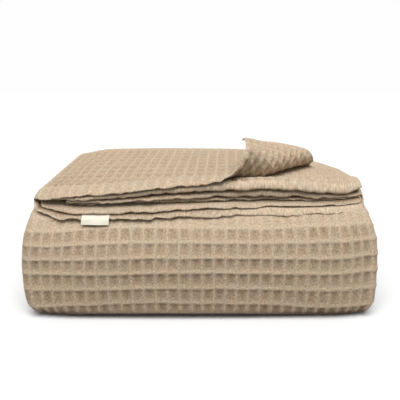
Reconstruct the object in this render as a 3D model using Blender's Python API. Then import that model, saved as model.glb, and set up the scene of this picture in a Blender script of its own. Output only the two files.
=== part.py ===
"""A waffle weave cotton blanket, folded into a thick stack, with its small sewn-in label.

The blanket is one sheet of cloth. Across its width it is folded in half and then in thirds, which
makes a strip of six layers. The strip is then folded along its length into seven passes: its free
end lies on top at the front, the next turn makes the tall rounded front, and the rest is rolled up
inside that. The front corner of the topmost layer is turned back.

Metres, +Z up. The origin is on the surface that the blanket rests on, under the middle of the stack,
+X is to the right and -Y is the front.
"""

import math
from collections import namedtuple

import bmesh
import bpy
from mathutils import Vector

# The stack
HALF_WIDTH = 0.206  # from the middle to the widest place of a side
DEPTH = 0.280
LAYER_PITCH = 0.00355  # one layer of cloth and the air over it
CLOTH = 0.0028
LAYERS = 6
PASSES = 7
STRIP = LAYERS * LAYER_PITCH

# The strip's cross-section: a doubled sheet, folded in thirds
TOP_LAYER_EDGE = 0.160  # free right edge of layer 1
SECOND_LAYER_EDGE = 0.203  # free right edge of layer 2
INNER_FOLD_SETBACK = 0.008  # the fold inside the left one stops short of it
HALF_FOLD = -0.155  # middle of the fold between layers 3 and 4, well short of the left side

# Each layer has points at these places across the strip, and how the cloth settles is linear between
# them, so that layers with different folds stay apart. The topmost pass has one thickness where it lies
# flat and another at its free end, which lies a little forward. Factors make the front and back higher
# or lower. The sides draw in, and the ends of the front and back are rounded.
ACROSS_COLUMNS = (
    "x", "flat_thickness", "end_thickness", "forward", "front_height", "back_height", "drawn_in", "rounded"
)
ACROSS_ROWS = (
    (-0.206, 0.64, 0.75, -0.002, 1.00, 0.98, 1.00, 0.110),
    (-0.155, 0.94, 1.10, 0.006, 0.97, 1.00, 0.35, 0.018),
    (-0.060, 1.00, 1.62, 0.004, 0.98, 1.00, 0.02, 0.000),
    (0.060, 1.00, 1.75, -0.002, 1.00, 0.99, 0.02, 0.000),
    (0.160, 0.96, 1.35, -0.004, 1.03, 0.94, 0.35, 0.018),
    (0.206, 0.85, 1.15, -0.006, 1.04, 0.86, 1.00, 0.110),
)

# The strip's free end, which shows as six hems
FREE_END = -0.119
HEM_STATIONS = (FREE_END, -0.110, -0.095, -0.0761, 0.0)
HEM_SETBACK = {1: 0.0, 2: 0.0020, 3: 0.0035, 4: 0.0080, 5: 0.0015, 6: 0.0}  # by layer
FAN_START = -0.066  # behind here the layers lie close, and from here to the free end they spread
FAN_LENGTH = 0.050

# The turns of the strip, in order from the free end. A slot is a height in the stack, 1 at the bottom.
# Squareness is the power of its curve, 2 for round: the weight of the stack makes its lower half squarer.
TURN_COLUMNS = ("end", "from_slot", "to_slot", "upper_squareness", "lower_squareness", "steps")
TURN_ROWS = (
    ("back", 7, 6, 2.0, 2.0, 4),
    ("front", 6, 1, 2.5, 6.0, 8),
    ("back", 1, 5, 2.4, 3.6, 6),
    ("front", 5, 2, 2.4, 3.8, 8),
    ("back", 2, 4, 2.3, 2.8, 6),
    ("front", 4, 3, 2.0, 2.0, 4),
)
END_INSIDE = 0.060  # where the other end of the strip lies inside the stack
NEAR = 1e-6  # stations this close are one

# At each height: how far the sides reach, how much of the rounding of the ends there is, and by what
# share the stack bulges to the front and back under its own weight
HEIGHT_COLUMNS = ("z", "left", "right", "rounding", "bulge")
HEIGHT_ROWS = (
    (0.000, 0.188, 0.190, 0.45, 0.165),
    (0.006, 0.196, 0.197, 0.45, 0.122),
    (0.016, 0.203, 0.202, 0.52, 0.084),
    (0.030, 0.204, 0.203, 0.64, 0.067),
    (0.060, 0.205, 0.205, 0.90, 0.045),
    (0.090, 0.205, 0.204, 1.00, 0.012),
    (0.112, 0.199, 0.197, 1.00, 0.000),
    (0.128, 0.193, 0.190, 1.00, 0.000),
    (0.160, 0.182, 0.186, 1.00, 0.000),
)
PRESSED_HEIGHT = 0.064  # below this the layers are pressed together, the most at the floor
PRESSED_SHARE = 0.33

# The corner of layer 1 that is turned back, about a crease from the front edge to the right edge. It
# turns round a roll, with a radius and an angle at the crease's start and end, and goes on bending.
CREASE_START = Vector((0.016, -0.119))
CREASE_END = Vector((0.154, 0.007))
CURL_RADII = (0.0155, 0.0125)
CURL_ANGLES = (math.radians(146), math.radians(164))
CURL_BEND = 10.0  # radians a metre
CURL_LINES = (0.0, 0.005, 0.011, 0.017, 0.023, 0.029, 0.036, 0.058)  # beyond the crease, cut to bend there
LIFT = 0.006  # of layer 1's front edge, which rises to the left of the crease already
LIFT_LEFT = -0.039
LIFT_LENGTH = 0.065
LIFT_BACK = -0.085
LIFT_DEPTH = 0.030

# The label: a ribbon held between the hems of layers 5 and 6, hanging over the front
LABEL_LEFT = -0.136
LABEL_RIGHT = -0.104
LABEL_THICKNESS = 0.0004
LABEL_TUCK = 0.006
LABEL_LIP = 0.0012  # how far in front of the hem it turns down
LABEL_DROP = 0.0125
LABEL_SLOPE = math.radians(64)  # below the horizon, along which it hangs
LABEL_ACROSS = 4

# A point across the strip: its place over the mid-line, the way that side A faces, and its layer
Across = namedtuple("Across", "x n face_x face_n layer")
# A station along the strip: a point of its mid-line, and the way that layer 1 lies from it
Station = namedtuple("Station", "y z normal_y normal_z")


def smooth(t):
    """A smooth step from 0 to 1 as t goes from 0 to 1."""
    t = min(max(t, 0.0), 1.0)
    return t * t * (3 - 2 * t)


def read_table(rows, columns, key, wanted, at):
    """The value of one column of a table, read between its rows at a value of its key column."""
    k, w = columns.index(key), columns.index(wanted)
    if at <= rows[0][k]:
        return rows[0][w]
    for low, high in zip(rows, rows[1:]):
        if at <= high[k]:
            share = (at - low[k]) / (high[k] - low[k])
            return low[w] + share * (high[w] - low[w])
    return rows[-1][w]


def at_x(x, wanted):
    return read_table(ACROSS_ROWS, ACROSS_COLUMNS, "x", wanted, x)


def at_height(z, wanted):
    return read_table(HEIGHT_ROWS, HEIGHT_COLUMNS, "z", wanted, z)


# ---------------------------------------------------------------- the strip's cross-section


def layer_height(layer):
    """Height of a layer's middle over the strip's mid-line, with layer 1 on top."""
    return ((LAYERS + 1) / 2 - layer) * LAYER_PITCH


def fold_points(x, upper, lower, start, sweep, steps):
    """Points round the fold between two layers, from the angle start through sweep, in degrees.

    The fold's centre is at x. Side A is outside a fold that turns anticlockwise.
    """
    middle = (layer_height(upper) + layer_height(lower)) / 2
    radius = (layer_height(upper) - layer_height(lower)) / 2
    first, last = (upper, lower) if start > 0 else (lower, upper)
    face = math.copysign(1, sweep)
    points = []
    for step in range(steps + 1):
        share = step / steps
        angle = math.radians(start + sweep * share)
        cos, sin = math.cos(angle), math.sin(angle)
        layer = first + (last - first) * share
        points.append(Across(x + radius * cos, middle + radius * sin, face * cos, face * sin, layer))
    return points


def straight_points(layer, leftwards, start=-HALF_WIDTH, end=HALF_WIDTH):
    """Points of a layer between start and end. Side A faces up where the sheet runs leftwards."""
    places = sorted((row[0] for row in ACROSS_ROWS if start < row[0] < end), reverse=leftwards)
    return [Across(x, layer_height(layer), 0.0, 1.0 if leftwards else -1.0, layer) for x in places]


def cross_section():
    """The sheet's middle line across the strip, from layer 1's free edge to layer 2's."""
    left = -HALF_WIDTH + layer_height(1) + CLOTH / 2
    right = HALF_WIDTH - (layer_height(3) - layer_height(6)) / 2 - CLOTH / 2
    return (
        [Across(TOP_LAYER_EDGE, layer_height(1), 0.0, 1.0, 1)]
        + straight_points(1, True, end=TOP_LAYER_EDGE)
        + fold_points(left, 1, 6, 90, 180, 4)
        + straight_points(6, False)
        + fold_points(right, 3, 6, -90, 180, 4)
        + straight_points(3, True, start=HALF_FOLD)
        + fold_points(HALF_FOLD, 3, 4, 90, 180, 3)
        + straight_points(4, False, start=HALF_FOLD)
        + fold_points(right, 4, 5, 90, -180, 3)
        + straight_points(5, True)
        + fold_points(left + INNER_FOLD_SETBACK, 2, 5, -90, -180, 4)
        + straight_points(2, False)
        + [Across(SECOND_LAYER_EDGE, layer_height(2), 0.0, -1.0, 2)]
    )


# ---------------------------------------------------------------- the strip's path


def slot_height(slot):
    return (slot - 0.5) * STRIP


def turns():
    return [dict(zip(TURN_COLUMNS, row)) for row in TURN_ROWS]


def strips_across(turn):
    """How many strips high a turn is."""
    return abs(turn["from_slot"] - turn["to_slot"]) + 1


def turn_centre(turn):
    """(y, z) of the middle of a turn. The turns under the topmost pass share it at each end."""
    outermost = turn
    if turn["from_slot"] != PASSES:
        peers = [peer for peer in turns() if peer["end"] == turn["end"] and peer["from_slot"] != PASSES]
        outermost = max(peers, key=strips_across)
    reach = strips_across(outermost) / 2 * STRIP
    y = DEPTH / 2 - reach
    z = (slot_height(turn["from_slot"]) + slot_height(turn["to_slot"])) / 2
    return (y if turn["end"] == "back" else -y), z


def turn_stations(turn):
    """Stations round a turn of the strip, a squarish half circle."""
    centre_y, centre_z = turn_centre(turn)
    radius = (strips_across(turn) - 1) / 2 * STRIP
    outwards = 1 if turn["end"] == "back" else -1
    up_first = 1 if turn["from_slot"] > turn["to_slot"] else -1
    # Layer 1 is outside a turn that goes down at the back, and inside one that goes down in front.
    side = outwards * up_first
    stations = []
    for step in range(turn["steps"] + 1):
        angle = math.pi * step / turn["steps"]
        half = "upper_squareness" if up_first * math.cos(angle) > 0 else "lower_squareness"
        power = turn[half]
        out = abs(math.sin(angle)) ** (2 / power)
        up = math.copysign(abs(math.cos(angle)) ** (2 / power), up_first * math.cos(angle))
        normal_y = outwards * out ** (power - 1)
        normal_z = math.copysign(abs(up) ** (power - 1), up)
        size = side * math.hypot(normal_y, normal_z)
        y, z = centre_y + outwards * radius * out, centre_z + radius * up
        stations.append(Station(y, z, normal_y / size, normal_z / size))
    return stations


def stations_between(last, y):
    """Stations of a straight pass at the places where the passes share them, up to y."""
    shared = (turn_centre(turns()[1])[0], 0.0, turn_centre(turns()[2])[0])
    low, high = sorted((last.y, y))
    places = [place for place in shared if low + NEAR < place < high - NEAR]
    return [last._replace(y=place) for place in sorted(places, reverse=y < last.y)]


def strip_path():
    """Stations of the strip's mid-line from its free end on top to its end inside the stack."""
    stations = [Station(y, slot_height(PASSES), 0.0, 1.0) for y in HEM_STATIONS]
    for turn in turns():
        round_turn = turn_stations(turn)
        stations += stations_between(stations[-1], round_turn[0].y) + round_turn
    stations += stations_between(stations[-1], END_INSIDE)
    return stations + [stations[-1]._replace(y=END_INSIDE)]


# ---------------------------------------------------------------- how the folded cloth settles


def on_chords(curve, y):
    """The value of a curve of y, straight between the free end's stations."""
    high = next((station for station in HEM_STATIONS[1:] if y <= station), HEM_STATIONS[-1])
    low = HEM_STATIONS[HEM_STATIONS.index(high) - 1]
    share = min((y - low) / (high - low), 1.0)
    return curve(low) + share * (curve(high) - curve(low))


def shoulder_drop(y):
    """How far the rounded front has fallen away below its top at y."""
    front = turns()[1]
    reach = strips_across(front) / 2 * STRIP
    power = front["upper_squareness"]
    share = min(max((turn_centre(front)[0] - y) / reach, 0.0), 1.0)
    return reach * (1 - (1 - share**power) ** (1 / power))


def end_share(y):
    """How far the topmost pass is spread at y, from 0 to 1 at its free end."""
    return smooth((FAN_START - y) / FAN_LENGTH)


def spread_end(x, y, z):
    """Fans the topmost pass out towards its free end and drapes that end over the rounded front."""
    floor = (PASSES - 1) * STRIP
    if z < floor:
        return x, y, z
    share = on_chords(end_share, y)
    thickness = at_x(x, "flat_thickness") * (1 - share) + at_x(x, "end_thickness") * share
    height = z - floor
    raised = min(height, STRIP) * thickness + max(height - STRIP, 0.0)
    y -= at_x(x, "forward") * share
    return x, y, floor + raised - on_chords(shoulder_drop, y)


def slump(x, y, z):
    """Presses the bottom together, and makes the corners of the front and back higher or lower."""
    z -= (LAYER_PITCH - CLOTH) / 2
    z -= PRESSED_SHARE * z * max(1 - z / PRESSED_HEIGHT, 0.0) ** 2
    front = min(max(y / HEM_STATIONS[3], 0.0), 1.0)
    back = max(y / (DEPTH / 2), 0.0)
    factor = 1 + (at_x(x, "front_height") - 1) * front + (at_x(x, "back_height") - 1) * back
    return x, y, z * factor


def round_sides(x, y, z):
    """Draws the sides in by height, rounds the ends of the front and back, and bulges the bottom."""
    reach = at_height(z, "left" if x < 0 else "right")
    drawn_in = (HALF_WIDTH - reach) * at_x(x, "drawn_in")
    depth = (1 - at_x(x, "rounded") * at_height(z, "rounding")) * (1 + at_height(z, "bulge"))
    return x - math.copysign(drawn_in, x), y * depth, z


def settle(point):
    return Vector(round_sides(*slump(*spread_end(*point))))


# ---------------------------------------------------------------- the corner turned back


def crease_frame():
    """The crease's start, and the level directions along it and from it to the corner."""
    along = (CREASE_END - CREASE_START).normalized()
    return CREASE_START, along, Vector((along.y, -along.x))


def between(ends, share):
    return ends[0] + (ends[1] - ends[0]) * share


def edge_lift(x, y):
    """How far layer 1 is lifted near its front edge, where the corner starts to turn."""
    return LIFT * smooth((x - LIFT_LEFT) / LIFT_LENGTH) * smooth((LIFT_BACK - y) / LIFT_DEPTH)


def curl_corner(point):
    """Lifts layer 1's front edge and rolls what lies beyond the crease up and back over itself."""
    start, along, out = crease_frame()
    sheet = slot_height(PASSES) + layer_height(1)
    over = point.z - sheet
    if over < -LAYER_PITCH / 2:
        return point
    lift = edge_lift(point.x, point.y)
    flat = Vector((point.x, point.y)) - start
    beyond = flat.dot(out)
    if beyond <= 0:
        return Vector((point.x, point.y, point.z + lift))
    share = min(max(flat.dot(along) / (CREASE_END - CREASE_START).length, 0.0), 1.0)
    radius = between(CURL_RADII, share)
    angle = min(beyond / radius, between(CURL_ANGLES, share))
    turned = angle + (beyond - angle * radius) * CURL_BEND
    level = (radius - 1 / CURL_BEND) * math.sin(angle) + (1 / CURL_BEND - over) * math.sin(turned) - beyond
    height = radius + (1 / CURL_BEND - radius) * math.cos(angle) - (1 / CURL_BEND - over) * math.cos(turned)
    return Vector((point.x + out.x * level, point.y + out.y * level, sheet + height + lift))


def cut_curl_lines(mesh, faces):
    """Cuts the corner's faces along the lines where they bend."""
    start, _, out = crease_frame()
    for distance in CURL_LINES:
        at = start + out * distance
        faces = [face for face in faces if face.is_valid]
        edges = {edge for face in faces for edge in face.edges}
        corners = {corner for face in faces for corner in face.verts}
        cut = bmesh.ops.bisect_plane(
            mesh,
            geom=[*faces, *edges, *corners],
            dist=1e-6,
            plane_co=(at.x, at.y, 0.0),
            plane_no=(out.x, out.y, 0.0),
        )
        faces = [item for item in cut["geom"] if isinstance(item, bmesh.types.BMFace)]


# ---------------------------------------------------------------- pieces


def sheet_point(across, station, side, free_end):
    """A point of the sheet's surface, side 1 for side A and -1 for side B."""
    n = across.n + side * across.face_n * CLOTH / 2
    y = station.y
    if free_end:
        upper = math.floor(across.layer)
        lower = min(upper + 1, LAYERS)
        y += HEM_SETBACK[upper] + (HEM_SETBACK[lower] - HEM_SETBACK[upper]) * (across.layer - upper)
    x = across.x + side * across.face_x * CLOTH / 2
    return Vector((x, y + station.normal_y * n, station.z + station.normal_z * n))


def add_sides(mesh, grid, section, path):
    """Both sides of the sheet, with each panel's diagonal running the same way in every layer."""
    corner_faces = []
    for i, (left, right) in enumerate(zip(section, section[1:])):
        for j, (near, far) in enumerate(zip(path, path[1:])):
            ring = [(i, j), (i, j + 1), (i + 1, j + 1), (i + 1, j)]
            if (right.x - left.x) * (far.y - near.y) < 0:
                ring = ring[1:] + ring[:1]
            for triangle in (ring[:3], [ring[0], *ring[2:]]):
                faces = [mesh.faces.new([grid[side, *corner] for corner in triangle]) for side in (1, -1)]
                if is_in_corner(i, j, section):
                    corner_faces += faces
    return corner_faces


def is_in_corner(i, j, section):
    """Whether the sheet at these steps is the part of layer 1 that the crease crosses."""
    return section[i].x > 0 and section[i].layer == 1 and j < len(HEM_STATIONS)


def add_rims(mesh, grid, section, path):
    """The sheet's four edges, between its two sides."""
    corner_faces = []
    last_i, last_j = len(section) - 1, len(path) - 1
    for j in (0, last_j):
        for i in range(last_i):
            rim = mesh.faces.new([grid[1, i, j], grid[1, i + 1, j], grid[-1, i + 1, j], grid[-1, i, j]])
            if is_in_corner(i, j, section):
                corner_faces.append(rim)
    for i in (0, last_i):
        for j in range(last_j):
            rim = mesh.faces.new([grid[1, i, j], grid[1, i, j + 1], grid[-1, i, j + 1], grid[-1, i, j]])
            if is_in_corner(i, j, section):
                corner_faces.append(rim)
    return corner_faces


def build_blanket():
    mesh = bmesh.new()
    section, path = cross_section(), strip_path()
    grid = {
        (side, i, j): mesh.verts.new(sheet_point(across, station, side, j == 0))
        for side in (1, -1)
        for i, across in enumerate(section)
        for j, station in enumerate(path)
    }
    corner_faces = add_sides(mesh, grid, section, path) + add_rims(mesh, grid, section, path)
    cut_curl_lines(mesh, corner_faces)
    for corner in mesh.verts:
        corner.co = settle(curl_corner(corner.co))
    return mesh


def label_line(x):
    """The ribbon's middle line at x, from its tucked end over the hem and down the front."""
    gap = slot_height(PASSES) + (layer_height(5) + layer_height(6)) / 2
    tucked = settle((x, FREE_END + LABEL_TUCK, gap))
    hem = settle((x, FREE_END, gap))
    lip = hem + (hem - tucked).normalized() * LABEL_LIP
    down = Vector((0.0, -math.cos(LABEL_SLOPE), -math.sin(LABEL_SLOPE)))
    return [tucked, hem, lip, lip + down * LABEL_DROP]


def upper_face(line, j):
    """The way from point j of a ribbon's middle line to its upper face, mitred where it bends."""
    to_right = Vector((1.0, 0.0, 0.0))
    before = line[max(j, 1)] - line[max(j, 1) - 1]
    after = line[min(j + 1, len(line) - 1)] - line[min(j, len(line) - 2)]
    mitre = to_right.cross(-(before.normalized() + after.normalized())).normalized()
    return mitre * (LABEL_THICKNESS / 2 / mitre.dot(to_right.cross(-after.normalized())))


def build_label():
    mesh = bmesh.new()
    grid = {}
    for i in range(LABEL_ACROSS + 1):
        line = label_line(LABEL_LEFT + (LABEL_RIGHT - LABEL_LEFT) * i / LABEL_ACROSS)
        for j, point in enumerate(line):
            for side in (1, -1):
                grid[side, i, j] = mesh.verts.new(point + side * upper_face(line, j))
    last_j = len(line) - 1
    for i in range(LABEL_ACROSS):
        for j in range(last_j):
            for side in (1, -1):
                mesh.faces.new([grid[side, i + a, j + b] for a, b in ((0, 0), (0, 1), (1, 1), (1, 0))])
        for j in (0, last_j):
            mesh.faces.new([grid[1, i, j], grid[1, i + 1, j], grid[-1, i + 1, j], grid[-1, i, j]])
    for j in range(last_j):
        for i in (0, LABEL_ACROSS):
            mesh.faces.new([grid[1, i, j], grid[1, i, j + 1], grid[-1, i, j + 1], grid[-1, i, j]])
    return mesh


def material(name, colour, roughness):
    made = bpy.data.materials.new(name)
    made.use_nodes = True
    shader = made.node_tree.nodes["Principled BSDF"]
    shader.inputs["Base Color"].default_value = (*colour, 1.0)
    shader.inputs["Roughness"].default_value = roughness
    shader.inputs["Metallic"].default_value = 0.0
    return made


def add_object(name, mesh, finish):
    bmesh.ops.recalc_face_normals(mesh, faces=mesh.faces)
    data = bpy.data.meshes.new(name)
    mesh.to_mesh(data)
    mesh.free()
    data.materials.append(finish)
    data.shade_smooth()
    data.set_sharp_from_angle(angle=math.radians(50))
    made = bpy.data.objects.new(name, data)
    bpy.context.scene.collection.objects.link(made)
    return made


def main():
    for old in list(bpy.data.objects):
        bpy.data.objects.remove(old)
    add_object("blanket", build_blanket(), material("waffle_cotton", (0.62, 0.50, 0.37), 0.9))
    add_object("label", build_label(), material("label_ribbon", (0.90, 0.87, 0.76), 0.6))


main()
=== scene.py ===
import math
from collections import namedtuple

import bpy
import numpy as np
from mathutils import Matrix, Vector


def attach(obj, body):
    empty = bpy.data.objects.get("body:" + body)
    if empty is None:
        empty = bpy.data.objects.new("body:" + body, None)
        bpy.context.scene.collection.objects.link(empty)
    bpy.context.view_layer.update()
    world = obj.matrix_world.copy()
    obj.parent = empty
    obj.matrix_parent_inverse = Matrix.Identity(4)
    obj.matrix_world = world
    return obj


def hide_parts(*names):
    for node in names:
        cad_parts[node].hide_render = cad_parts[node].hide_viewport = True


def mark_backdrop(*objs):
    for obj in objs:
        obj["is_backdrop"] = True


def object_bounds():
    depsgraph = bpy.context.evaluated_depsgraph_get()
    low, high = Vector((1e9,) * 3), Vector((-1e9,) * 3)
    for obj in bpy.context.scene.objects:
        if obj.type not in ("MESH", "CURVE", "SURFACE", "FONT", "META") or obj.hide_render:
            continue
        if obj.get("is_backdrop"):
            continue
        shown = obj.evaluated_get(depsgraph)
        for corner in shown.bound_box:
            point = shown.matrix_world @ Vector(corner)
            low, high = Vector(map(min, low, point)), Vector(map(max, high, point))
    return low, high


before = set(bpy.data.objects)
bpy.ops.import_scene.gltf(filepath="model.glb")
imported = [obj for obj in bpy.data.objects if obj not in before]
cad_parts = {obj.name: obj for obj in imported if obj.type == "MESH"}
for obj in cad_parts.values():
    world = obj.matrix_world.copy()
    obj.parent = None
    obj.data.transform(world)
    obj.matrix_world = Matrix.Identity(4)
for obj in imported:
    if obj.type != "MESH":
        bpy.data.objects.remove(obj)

# The looks of the folded waffle weave blanket and its label, with a pale floor, soft light and the
# photograph's camera.
#
# The cloth is one closed sheet, folded like the CAD solid. A place on it is (u, v), in metres: u from
# the free edge of layer 1 across the sheet, and v from the free end that lies on top, along the strip.
# Side 1 of the sheet looks up on layer 1, and side -1 is its other side. Layers are counted from the
# top down, and the slots of the strip's passes from the floor up.

CAD_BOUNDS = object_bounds()

# ---- sizes of the folded stack

# Names of part.py mean the same here. Some sizes are fitted to the photograph more closely.
HALF_WIDTH = 0.206
DEPTH = 0.280
LAYER_PITCH = 0.00355
CLOTH = 0.0028  # the sheet's thickness
THIN = 0.0011  # half its thickness where it is pressed between other layers
LAYERS = 6
PASSES = 7
STRIP = LAYERS * LAYER_PITCH
TOP_LAYER_EDGE = 0.160  # x of layer 1's free edge
SECOND_LAYER_EDGE = 0.203
INNER_FOLD_SETBACK = 0.005
HALF_FOLD = -0.155

# Across the stack: how thick the topmost pass lies, how far its free end stands forward, how high the
# front and back are, how much of the sides' drawing in is felt, and how round front and back end. All
# but x and forward are shares.
ACROSS_COLUMNS = ("x", "flat_thickness", "forward", "front_height", "back_height", "drawn_in", "rounded")
ACROSS_ROWS = (
    (-0.206, 0.64, -0.002, 1.00, 0.99, 1.00, 0.080),
    (-0.155, 0.94, 0.006, 0.97, 1.00, 0.35, 0.010),
    (-0.060, 1.00, 0.004, 0.98, 1.00, 0.02, 0.000),
    (0.060, 1.00, -0.002, 1.00, 0.99, 0.02, 0.000),
    (0.160, 0.96, -0.004, 1.03, 0.94, 0.35, 0.018),
    (0.206, 0.85, -0.006, 1.04, 0.86, 1.00, 0.110),
)
ACROSS_BLUR = 0.016
FREE_END = -0.119  # y of the end on top
FAN_START = -0.066  # y where its layers start to spread
FAN_LENGTH = 0.050

# The strip's turns from the free end inwards. A squareness of 2 is round, and more is squarer.
Turn = namedtuple("Turn", "end from_slot to_slot upper_squareness lower_squareness")
TURNS = (
    Turn("back", 7, 6, 2.0, 2.0),
    Turn("front", 6, 1, 2.5, 6.0),
    Turn("back", 1, 5, 2.4, 3.6),
    Turn("front", 5, 2, 2.4, 3.8),
    Turn("back", 2, 4, 2.3, 2.8),
    Turn("front", 4, 3, 2.0, 2.0),
)
END_INSIDE = 0.060  # y of the strip's inner end
FRONT_CENTRE = -0.0761  # y of the middle of the rounded front
STEEPEST = 0.999  # share of the front's reach up to which its shoulder is followed down

# By height: how far out the sides stand, how much of that roundness is felt, and by what share the
# front and back bulge
HEIGHT_COLUMNS = ("z", "left", "right", "rounding", "bulge")
HEIGHT_ROWS = (
    (0.000, 0.184, 0.187, 0.45, 0.132),
    (0.006, 0.193, 0.195, 0.45, 0.138),
    (0.016, 0.2005, 0.201, 0.52, 0.090),
    (0.030, 0.203, 0.203, 0.64, 0.067),
    (0.060, 0.2045, 0.2045, 0.90, 0.045),
    (0.090, 0.2025, 0.203, 1.00, 0.012),
    (0.112, 0.1975, 0.1965, 1.00, 0.000),
    (0.128, 0.193, 0.190, 1.00, 0.000),
    (0.160, 0.182, 0.186, 1.00, 0.000),
)
HEIGHT_BLUR = 0.005
PRESSED_HEIGHT = 0.064  # up to where the layers are pressed together
PRESSED_SHARE = 0.33

# Layer 1's turned corner: the ends (x, y) of its crease, and the radius and the angle of its roll at
# each of them. Beyond the roll it is bent a little more.
CREASE_START = np.array((0.016, -0.119))
CREASE_END = np.array((0.154, 0.007))
CURL_RADII = (0.0172, 0.0090)
CURL_ANGLES = np.radians((146, 164))
CURL_BEND = 10.0  # radians per metre
CREST_LIFT = 0.0052  # how far the roll stands off layer 2 at the crease's end
CREST_LENGTH = 0.008  # over which it rises before the crease
LIFT = 0.0032  # of layer 1's front edge beside the crease
LIFT_LEFT = -0.004  # x where it starts
LIFT_LENGTH = 0.052
LIFT_BACK = -0.085  # y where it starts
LIFT_DEPTH = 0.030

# ---- sizes of the hems

# The free end's six hems by place across the stack: how high over the rounded front the top of layer 1
# and the gap under each layer are, how much of their setback the hems have, and how far the bottom hem
# stands forward
GAP_COLUMNS = ("top", "under_1", "under_2", "under_3", "under_4", "under_5", "under_6")
END_COLUMNS = ("x", *GAP_COLUMNS, "setback", "forward")
END_ROWS = (
    (-0.206, 0.0170, 0.0146, 0.0124, 0.0102, 0.0081, 0.0060, 0.0038, 1.0, 0.0010),
    (-0.187, 0.0205, 0.0160, 0.0136, 0.0112, 0.0089, 0.0062, 0.0028, 1.0, 0.0020),
    (-0.165, 0.0270, 0.0225, 0.0184, 0.0131, 0.0088, 0.0034, 0.0004, 1.0, 0.0025),
    (-0.145, 0.0286, 0.0237, 0.0188, 0.0141, 0.0091, 0.0026, -0.0003, 1.0, 0.0025),
    (-0.100, 0.0311, 0.0265, 0.0187, 0.0136, 0.0086, 0.0026, -0.0003, 1.0, 0.0025),
    (-0.034, 0.0368, 0.0326, 0.0217, 0.0158, 0.0096, 0.0038, -0.0002, 1.0, 0.0025),
    (0.035, 0.0390, 0.0349, 0.0240, 0.0145, 0.0098, 0.0052, -0.0003, 1.0, 0.0030),
    (0.081, 0.0382, 0.0341, 0.0244, 0.0126, 0.0086, 0.0062, -0.0004, 1.0, 0.0039),
    (0.129, 0.0334, 0.0294, 0.0184, 0.0090, 0.0068, 0.0045, 0.0008, 0.6, 0.0053),
    (0.183, 0.0265, 0.0225, 0.0128, 0.0080, 0.0058, 0.0036, 0.0014, 0.5, 0.0046),
    (0.206, 0.0270, 0.0236, 0.0165, 0.0098, 0.0074, 0.0048, 0.0016, 0.5, 0.0045),
)
END_BLUR = 0.010
END_GAP = 0.0012  # between the hems
THINNEST_HEM = 0.0009
OPENING = 0.0030  # how far the gap under layer 2 opens each way at the right end
OPENING_START = 0.180  # x
OPENING_LENGTH = 0.022
HEM_SETBACK = (0.0, 0.0022, 0.0040, 0.0080, 0.0010, 0.0)  # of layers 1 to 6

# Waves along the hems: their noise is shifted, lies apart from one hem to the next, and has a seed
Wave = namedtuple("Wave", "height length shift apart seed")
PUCKER = Wave(0.0006, 0.023, 40, 3.7, 32)  # of the gaps, up and down
SCALLOPS = Wave(0.0011, 0.0054, 0, 5.3, 31)  # of the hems' very edges, up and down
FORWARD_WAVES = (  # forward and back, with how far each reaches in from the free end
    (Wave(0.0011, 0.013, 0, 7.3, 21), 0.010),
    (Wave(0.0014, 0.045, 0, 7.3, 22), 0.024),
)
CALM_SIDES = 0.05  # from the stack's sides to where the hems' edges are fully uneven

HEM_WIDTH = {1: (0.021, 0.021), -1: (0.017, 0.006)}  # across and along, by side of the cloth
HEM_FADE = 0.008
HEM_RELIEF = 0.60  # what a hem shows of the waffle
NOSE = 0.0035  # from the sheet's edge to where it has its full thickness
NOSE_SHARE = 0.5  # of the thickness that the edge has
EDGE_INSET = 0.0015  # from the sheet's edge to where it starts to be round
EDGE_ROUND = 0.35  # how far the middle of the edge stands out, as a share of the thickness
TUCK_START = -0.0003  # from where a hem is covered to where the painted shade in the gap over it starts
TUCK_FADE = 0.002
CORNER_LIGHT = 0.040  # how far light comes in under layer 1 beside the turned corner

# ---- sizes of the waffle

# Ridges run along at every CELL_ACROSS, and across at every CELL_ALONG. The sheet has points at these
# shares of a cell, close together by the ridges.
CELL_ACROSS = 0.01308
CELL_ALONG = 0.0167
STRETCH_ON_TOP = 1.2  # the topmost pass is pulled longer
ACROSS_SHIFT = 0.0061  # of a ridge from u = 0
ALONG_SHIFT = 0.0094  # of a ridge from the start of the front turn
STEPS_ACROSS = (0.0, 0.12, 0.26, 0.42, 0.58, 0.74, 0.88)
STEPS_ALONG = (0.0, 0.09, 0.20, 0.33, 0.48, 0.63, 0.77, 0.90)
RIDGE = 0.0014  # over the solid's surface
HOLLOW = 0.0018  # under it
RIDGE_BLEND = 3.0  # how sharply a ridge along and one across meet
UNEVEN = 0.16  # how much deeper or shallower a hollow may be
UNEVEN_SEED = 3
REVERSE_RIDGES = 2  # across on the cloth's other side, for each one on side 1
WEAVE_COLUMNS = ("depth", "side_ridge", "side_sharpness", "cross_ridge")
WEAVE_TOP = (1.00, 1.00, 1.7, 0.66)  # on the topmost pass
WEAVE_FRONT = (0.66, 1.00, 2.0, 1.00)  # on the other turns and passes
WEAVE_REVERSE = (1.20, 0.95, 1.9, 0.90)  # on the cloth's other side
SLOPE_COLUMNS = ("along", "height")  # of a cell, from one ridge across to the next
SLOPE_ROWS = (
    (0.00, 1.00), (0.09, 0.46), (0.20, 0.06), (0.33, 0.00), (0.48, 0.03),
    (0.63, 0.11), (0.77, 0.36), (0.90, 0.86), (1.00, 1.00),
)

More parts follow.
